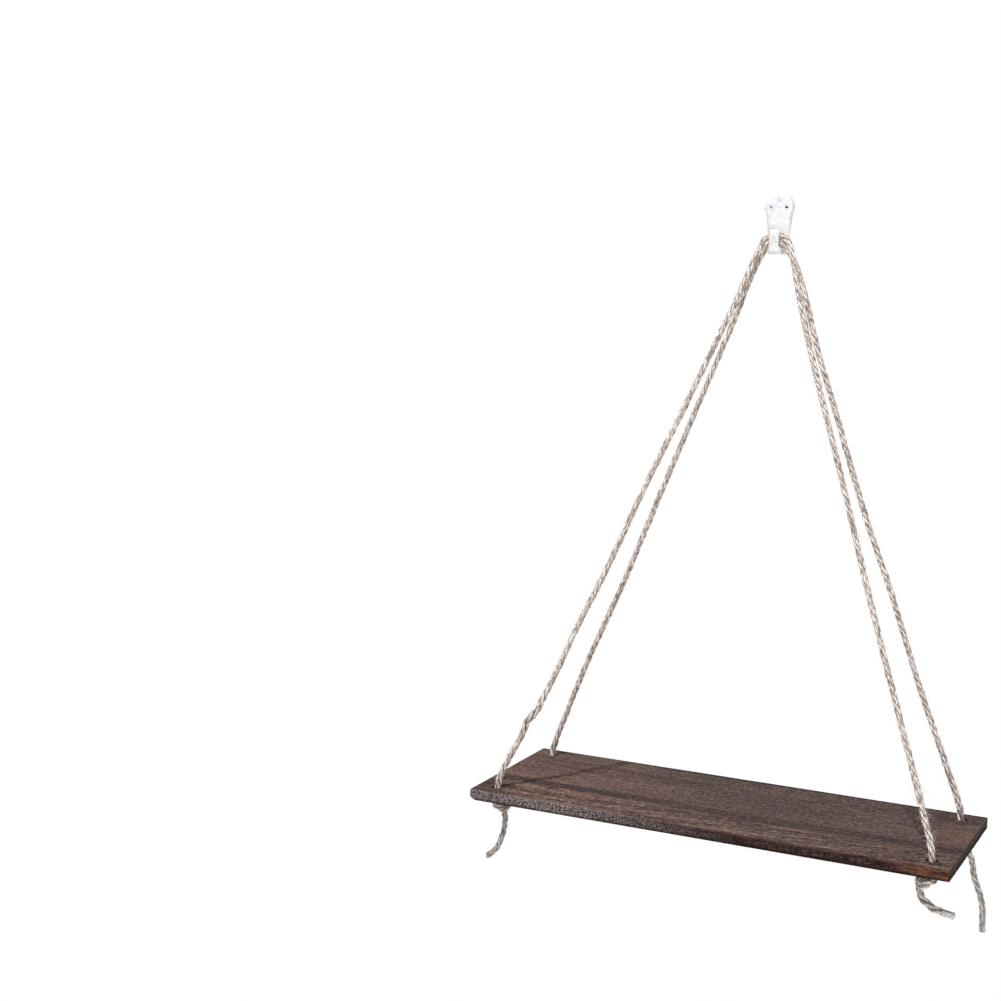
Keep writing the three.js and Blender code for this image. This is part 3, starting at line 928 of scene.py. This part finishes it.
def build_board():
    """The board as rings of points with faces between them, and two flat caps."""
    rng = np.random.default_rng(4)
    made = bmesh.new()
    caps = [[], []]
    rings = []
    for inset, z in edge_profile(arris_radius):
        points = outline(inset)
        rub = rub_depth * wander(len(points), 3, rng) + rub_depth * wander(len(points), 1, rng)
        middle = np.array([0, -board_depth / 2])
        share = arris_rub if inset > 0.9 * arris_radius else 1
        points = points + unit(points - middle) * rub[:, None] * share
        rise = knocked_corner(points) * (z < board_middle)
        rings.append([made.verts.new((x, y, z + up)) for (x, y), up in zip(points, rise)])
    loops = [rings]
    for x in (-hole_x, hole_x):
        for y in (hole_y["front"], hole_y["back"]):
            hole = []
            for inset, z in edge_profile(rim_radius, 3):
                radius = hole_radius + inset
                hole.append([made.verts.new((x + radius * math.cos(-a), y + radius * math.sin(-a), z))
                             for a in np.linspace(0, 2 * math.pi, hole_sides, endpoint=False)])
            loops.append(hole)
    for rings in loops:
        for upper, lower in zip(rings, rings[1:]):
            for k in range(len(upper)):
                after = (k + 1) % len(upper)
                made.faces.new((upper[after], upper[k], lower[k], lower[after])).smooth = True
        for cap, ring in zip(caps, (rings[0], rings[-1])):
            cap += [made.edges.get((a, b)) for a, b in zip(ring, ring[1:] + ring[:1])]
    for cap in caps:
        bmesh.ops.triangle_fill(made, use_beauty=True, use_dissolve=False, edges=cap)
    bmesh.ops.recalc_face_normals(made, faces=made.faces)
    mesh = bpy.data.meshes.new("stained_board")
    made.to_mesh(mesh)
    made.free()
    board = bpy.data.objects.new("stained_board", mesh)
    bpy.context.collection.objects.link(board)
    return board


board = build_board()
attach(board, "hanging_shelf")
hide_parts("shelf_board")
print("board:", len(board.data.vertices), "points")

# %% [markdown]
# ## Stained wood
# Grain is noise that is stretched along the board and bent a little by slower noise. On top of
# it come the marks that the photograph shows, and each of them is a mask made from the place
# on the board, in metres. First the grain itself, from long streaks down to single pores.

# %% Grain of the board
wood = Finish("stained_wood")
spot = wood.here()
east, north, height = [wood.part(spot, axis) for axis in range(3)]


def above(value, least):
    """How far a value is above a limit, else 0."""
    return wood.node("Math", {"operation": "MAXIMUM"}, [value - least, 0.0])


front_half = 1 - wood.between(north, -0.126, -0.110)
back_half = 1 - front_half
sway = wood.noise(wood.scaled(spot, (5.0, 16.0, 16.0))) - 0.5
bent = (north + sway * 0.012 - above(east, -0.05) * front_half * 0.13
        + above(east * -1.0, 0.09) * back_half * -0.12)


def grain_noise(along, across, detail=2.0, roughness=0.5, shift=0.0):
    """Noise with so many lumps in a metre along the board and across it."""
    return wood.noise(wood.place(east * along + shift, bent * across, height * across), detail, roughness)
fine = grain_noise(70.0, 320.0, 3.0, 0.7)
streak = grain_noise(9.0, 130.0, 3.0, 0.6, 4.0)
broad = grain_noise(3.0, 34.0, 2.0, 0.5, 2.0)
mottle = grain_noise(480.0, 220.0, 2.0, 0.7, 21.0)
pores = grain_noise(250.0, 330.0, 2.0, 0.7, 27.0)
flecks = grain_noise(170.0, 330.0, 1.0, 0.5, 9.0)
pits = grain_noise(90.0, 260.0, 1.0, 0.5, 15.0)
grain = fine * 0.30 + streak * 0.20 + broad * 0.15 + mottle * 0.42 - 0.035
print("grain nodes:", len(wood.tree.nodes))

# %% [markdown]
# ## Marks on the top
# Stain takes unevenly, and a plane tears the fibre here and there. The photograph has a darker
# band along the board, a paler front half with tan streaks, soft patches and small light
# flecks. Each is a coat of colour with the share that it covers, and the coats lie over one
# another in order, so that a mark can be changed without touching the rest.

# %% Marks on the top
clouds = wood.noise(wood.scaled(spot, (22.0, 40.0, 40.0)), 2.0, 0.6)
blush = wood.noise(wood.scaled(spot, (60.0, 110.0, 110.0)), 2.0, 0.6)
band = 1 - wood.between(abs(north + sway * 0.016 + 0.107), 0.004, 0.013)
band_share = wood.between(streak, 0.40, 0.56) * 0.45 + wood.between(east, 0.07, 0.16) * 0.18 + 0.32
behind_band = back_half * (1 - band)
at_left = 1 - wood.between(east, -0.15, -0.02)
far_back = wood.between(north, -0.040, -0.020) * wood.between(east, -0.14, -0.06)


def patch(x, y, wide, deep):
    """A soft oval mark round a place on the top, 1 in its middle."""
    u = (east - x) / wide
    w = (north - y) / deep
    return 1 - wood.between(u * u + w * w, 0.2, 1.0)


stained = wood.node("ValToRGB", {"stops": [
    (0.422, (0.029, 0.0172, 0.0168)), (0.481, (0.069, 0.0436, 0.0396)),
    (0.526, (0.112, 0.071, 0.0625)), (0.590, (0.207, 0.136, 0.114)),
]}, [grain])
zoned = wood.coated(stained, {
    "clouds": ((0.074, 0.054, 0.058), wood.between(clouds, 0.44, 0.66) * 0.45),
    "band": ((0.029, 0.020, 0.022), band * band_share),
    "tan streaks": ((0.250, 0.160, 0.122), front_half * wood.between(streak, 0.47, 0.60) * 0.45),
    "pale left": ((0.215, 0.145, 0.115), at_left * behind_band * wood.between(broad, 0.25, 0.6) * 0.42),
    "middle": ((0.115, 0.080, 0.074), wood.between(north, -0.030, -0.045) * behind_band * 0.25),
    "far back": ((0.045, 0.033, 0.032), far_back * 0.3),
})
left_warm = wood.blend(zoned, (1.28, 1.20, 1.16), patch(-0.150, -0.068, 0.13, 0.040), "MULTIPLY")
marked = wood.coated(left_warm, {
    "brown patch": ((0.175, 0.098, 0.066), patch(0.199, -0.068, 0.024, 0.030) * 0.35),
    "dark by the back right hole": ((0.022, 0.014, 0.014), patch(0.190, -0.022, 0.035, 0.022) * 0.5),
    "dark front left corner": ((0.024, 0.013, 0.013), patch(-0.205, -0.140, 0.026, 0.022) * 0.6),
    "torn fibre": ((0.33, 0.245, 0.21), wood.between(flecks, 0.56, 0.72) * (front_half * 0.38 + 0.25)),
    "pits": ((0.014, 0.009, 0.009), wood.between(pits, 0.56, 0.72) * (front_half * 0.45 + 0.35)),
    "blush": ((0.150, 0.068, 0.048), wood.between(blush, 0.54, 0.72) * 0.30),
})
pored = wood.blend(marked, (0.68, 0.66, 0.65), 1 - wood.between(pores, 0.38, 0.54), "MULTIPLY")
glinting = wood.blend(pored, (1.42, 1.37, 1.34), wood.between(pores, 0.47, 0.64), "MULTIPLY")
print("nodes with the marks:", len(wood.tree.nodes))

# %% [markdown]
# ## Edges and arrises
# The edges are nearly black, darker than the top. The front one is rough and speckled with
# light at its left end and red-brown at its right. The end face on the right is paler and
# browner in its upper half. Depth, width and height on the board tell these zones apart.

# %% Edges, arrises and the whole finish
front_edge = 1 - wood.between(north, -0.1596, -0.1588)
side_edge = wood.between(abs(east), 0.2138, 0.2146)
back_edge = wood.between(north, -0.0070, -0.0030) * (wood.between(east, -0.14, -0.04) * 0.65 + 0.25)
low = 1 - wood.between(height, board_bottom + 0.0006, board_bottom + 0.0031)
high = wood.between(height, board_top - 0.0024, board_top - 0.0006)
scratch = wood.noise(wood.scaled(spot, (620.0, 620.0, 1000.0)), 2.0, 0.65)
rough_end = 1 - wood.between(east, -0.15, 0.05)
speckle = wood.between(scratch, 0.38, 0.70) * (rough_end * 0.46 + 0.04)
layers = wood.noise(wood.place(east * 60.0, height * 800.0, 5.0), 3.0, 0.65)
ticks = wood.noise(wood.place(east * 620.0, height * 170.0, 8.0), 2.0, 0.6)
ticked = wood.between(layers * 0.6 + ticks * 0.4, 0.46, 0.62)
reddish = wood.between(layers * 0.85 + ticks * 0.15, 0.43, 0.58) * 0.88 + 0.04
edge_face = wood.coated(wood.blend((0.010, 0.004, 0.004), (0.082, 0.040, 0.034), ticked), {
    "red end": ((0.165, 0.062, 0.032), wood.between(east, 0.165, 0.185) * reddish),
    "arris": ((0.130, 0.072, 0.058), high * wood.between(layers, 0.35, 0.6) * 0.5),
    "speckles": ((0.66, 0.585, 0.58), speckle),
})
end_dark = wood.blend((0.011, 0.009, 0.009), (0.056, 0.047, 0.046), wood.between(scratch, 0.42, 0.68))
end_top = wood.between(height, board_top - 0.0050, board_top - 0.0036)
end_share = end_top * (wood.between(scratch, 0.36, 0.62) * 0.75 + 0.20)
finished = wood.coated(glinting, {
    "front edge": (edge_face, front_edge),
    "ends": (wood.blend(end_dark, (0.122, 0.088, 0.078), end_share), side_edge),
    "back edge": ((0.013, 0.009, 0.010), back_edge),
    "lower arris": ((0.006, 0.004, 0.004), low * 0.8),
})
relief = wood.bump(fine * 0.5 + mottle * 0.3 + pits * -0.3, 0.0003, 0.7)
rough_edge = wood.bump(scratch * (front_edge + side_edge), 0.0008, 0.7, relief)
wood.dress(Base_Color=finished, Roughness=fine * 0.2 + 0.6, Normal=rough_edge)
wood.dress(Specular_IOR_Level=0.05)
wear(board, wood)
print("wood finish nodes:", len(wood.tree.nodes))

# %% [markdown]
# ## The hook
# The hook is one moulding in white plastic, and a moulding has no knife edges. The solid's
# edges are sharp where its shapes meet, so the hook is poured again: its copy is remeshed at
# a third of a millimetre and relaxed, which leaves small fillets where a mould has them. The
# step from the head down to the plate is filled with a gentle slope first.


# %% Pour the hook again
slope_top, slope_foot, slope_rows, slope_run = -0.002, -0.024, 12, 0.013
slope_back, plate_front, head_rise = 0.001, 0.0044, 0.0021
plate_half, plate_taper = 0.0117, 0.119


def slope():
    """The gentle slope from the head's front down to the plate, row by row."""
    rows = []
    for z in np.linspace(slope_top, slope_foot, slope_rows):
        half = plate_half + plate_taper * z
        rise = min(max((z - slope_foot) / slope_run, 0), 1)
        back, front = -slope_back, -(plate_front + head_rise * rise * rise * (3 - 2 * rise))
        rows.append([(half, back, z), (-half, back, z), (-half, front, z), (half, front, z)])
    return rows


def poured(node, voxel, relax):
    """A copy of a solid with its edges softened as if moulded."""
    copy = bpy.data.objects.new("moulded_hook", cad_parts[node].data.copy())
    bpy.context.collection.objects.link(copy)
    made = bmesh.new()
    made.from_mesh(copy.data)
    rows = [[made.verts.new(point) for point in row] for row in slope()]
    for upper, lower in zip(rows, rows[1:]):
        for k in range(4):
            made.faces.new((upper[k], upper[(k + 1) % 4], lower[(k + 1) % 4], lower[k]))
    made.faces.new(rows[0][::-1])
    made.faces.new(rows[-1])
    made.to_mesh(copy.data)
    made.free()
    remesh = copy.modifiers.new("pour", "REMESH")
    remesh.mode, remesh.voxel_size, remesh.use_smooth_shade = "VOXEL", voxel, True
    calm = copy.modifiers.new("relax", "SMOOTH")
    calm.factor, calm.iterations = 0.5, relax
    bpy.context.view_layer.update()
    evaluated = copy.evaluated_get(bpy.context.evaluated_depsgraph_get())
    poured_mesh = bpy.data.meshes.new_from_object(evaluated)
    copy.modifiers.clear()
    copy.data = poured_mesh
    return copy


hook = poured("wall_hook", voxel=0.00032, relax=4)
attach(hook, "wall_hook")
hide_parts("wall_hook")
print("hook:", len(hook.data.vertices), "points")

# %% [markdown]
# ## White plastic and wire nails
# Polished moulds leave a gloss with a very faint waviness, and white plastic is never quite
# even in tone. The plate below the head is painted paler than the head, as painted light that
# lifts the shade under the head and its slope. The nails are drawn wire, so their scratches run
# round and along; their tones are painted light and shade, one steel in four tones.

# %% Finishes of the hook and its nails
plastic = Finish("white_plastic")
at_hook = plastic.here()
cloudy = plastic.noise(plastic.scaled(at_hook, (160.0, 160.0, 160.0)))
orange_peel = plastic.noise(plastic.scaled(at_hook, (900.0, 900.0, 900.0)), 1.0)
off_centre = plastic.length(plastic.scaled(at_hook, (1.0, 0.0, 1.0)))
gate_mark = 1 - plastic.between(off_centre, 0.0004, 0.0013)
white = plastic.blend((0.735, 0.755, 0.78), (0.77, 0.785, 0.81), cloudy)
painted_light_below_head = 1 - plastic.between(plastic.part(at_hook, 2), -0.0125, -0.0095)
off_lip = plastic.between(plastic.part(at_hook, 1), -0.0115, -0.0065)
# The plate below the head is painted paler: painted light that lifts the shade under the head and its
# slope. moulded holds it together with the gate mark.
moulded = plastic.coated(white, {
    "painted light under the head": ((0.90, 0.92, 0.945), painted_light_below_head * (off_lip * 0.8 + 0.2)),
    "gate mark": ((0.50, 0.51, 0.53), gate_mark * 0.6),
})
plastic.dress(Base_Color=moulded, Roughness=cloudy * 0.12 + 0.25,
              Normal=plastic.bump(orange_peel, 0.00002, 0.4))
plastic.dress(Specular_IOR_Level=0.25, Subsurface_Weight=1.0, Subsurface_Scale=0.012,
              Subsurface_Radius=(1.0, 1.0, 1.0))
wear(hook, plastic)


def nail_with_painted_light(label, dark, bright):
    """Drawn wire, from nearly black to bright; each nail's pair is painted light and shade on one steel."""
    steel = Finish("nail_wire_" + label)
    drawn = steel.noise(steel.scaled(steel.here(), (3000.0, 300.0, 3000.0)), 3.0, 0.6)
    steel.dress(Base_Color=steel.blend(dark, bright, drawn), Metallic=1.0, Roughness=drawn * 0.25 + 0.3,
                Normal=steel.bump(drawn, 0.00002, 0.5))
    wear(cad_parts["hook_nail_" + label], steel)


# The four nails are one steel; their tones, pale at the top and nearly black on the right, are painted
# light and shade.
nail_with_painted_light("top", (0.62, 0.62, 0.64), (0.85, 0.85, 0.86))
nail_with_painted_light("bottom", (0.70, 0.70, 0.72), (0.90, 0.90, 0.91))
nail_with_painted_light("left", (0.22, 0.22, 0.24), (0.40, 0.40, 0.42))
nail_with_painted_light("right", (0.010, 0.010, 0.012), (0.030, 0.030, 0.032))
print("hook and nails finished")

# %% [markdown]
# ## Light, background and floor
# A product photograph of this kind is lit from all round by white walls, with one lamp above
# the camera that throws the soft shadow of the rope over the board. A wide lamp fills in from
# the right, and a narrow one brightens the hook. The world gives the even part, and camera,
# gloss and glass see it as pure white. The floor lies below the shelf and takes its shadow,
# and further out it turns as white as the room.


# %% Lamps, world and floor
def lamp(name, kind, place, aim, watts):
    """A lamp of one kind that looks at a place."""
    light = bpy.data.objects.new(name, bpy.data.lights.new(name, kind))
    light.data.energy = watts
    light.location = place
    light.rotation_euler = (Vector(aim) - light.location).to_track_quat("-Z", "Y").to_euler()
    bpy.context.collection.objects.link(light)
    return light.data


key = lamp("key", "AREA", (-0.19, -1.65, 2.71), (0, -0.08, -0.45), 107)
key.shape, key.size = "DISK", 0.25
fill = lamp("front fill", "AREA", (1.1, -2.4, -0.35), (0, -0.08, -0.35), 22)
fill.shape, fill.size = "DISK", 1.6
narrow = lamp("hook fill", "SPOT", (1.3, -0.55, -0.25), (0, 0, -0.012), 14)
narrow.shadow_soft_size = 0.05
narrow.spot_size, narrow.spot_blend = math.radians(8), 0.7

world = bpy.data.worlds.new("white room")
bpy.context.scene.world = world
room = Finish("white room", world)
seen = room.node("LightPath")
shiny = room.node("LightPath", {}, (), "Is Glossy Ray")
through_it = room.node("LightPath", {}, (), "Is Transmission Ray")
in_sight = room.node("Math", {"operation": "MINIMUM"}, [seen + shiny + through_it, 1.0])
background = room.tree.nodes["Background"]
room.feed(background.inputs["Color"], (1.0, 1.0, 1.0))
room.feed(background.inputs["Strength"], in_sight * 0.75 + 0.25)

floor_z, floor_half = -1.25, 6
floor_corners = [(x * floor_half, y * floor_half, floor_z) for x, y in ((-1, -1), (1, -1), (1, 1), (-1, 1))]
floor = mesh_object("floor", floor_corners, [(0, 1, 2, 3)])
pale = Finish("pale_floor")
pale.dress(Base_Color=(0.9, 0.9, 0.9), Roughness=0.9)
away = pale.length(pale.scaled(pale.here(), (1.0, 1.0, 0.0)))
glow = pale.node("Emission", {}, {"Color": (1.0, 1.0, 1.0), "Strength": 1.0})
whiter = pale.between(away, 0.5, 1.2) * 0.35 + 0.65
kept = pale.node("MixShader", {}, {
    0: pale.node("LightPath") * whiter, 1: Wire(pale, pale.skin.outputs[0]), 2: glow})
pale.feed(pale.tree.nodes["Material Output"].inputs["Surface"], kept)
wear(floor, pale)
bpy.context.scene.view_settings.view_transform = "Standard"
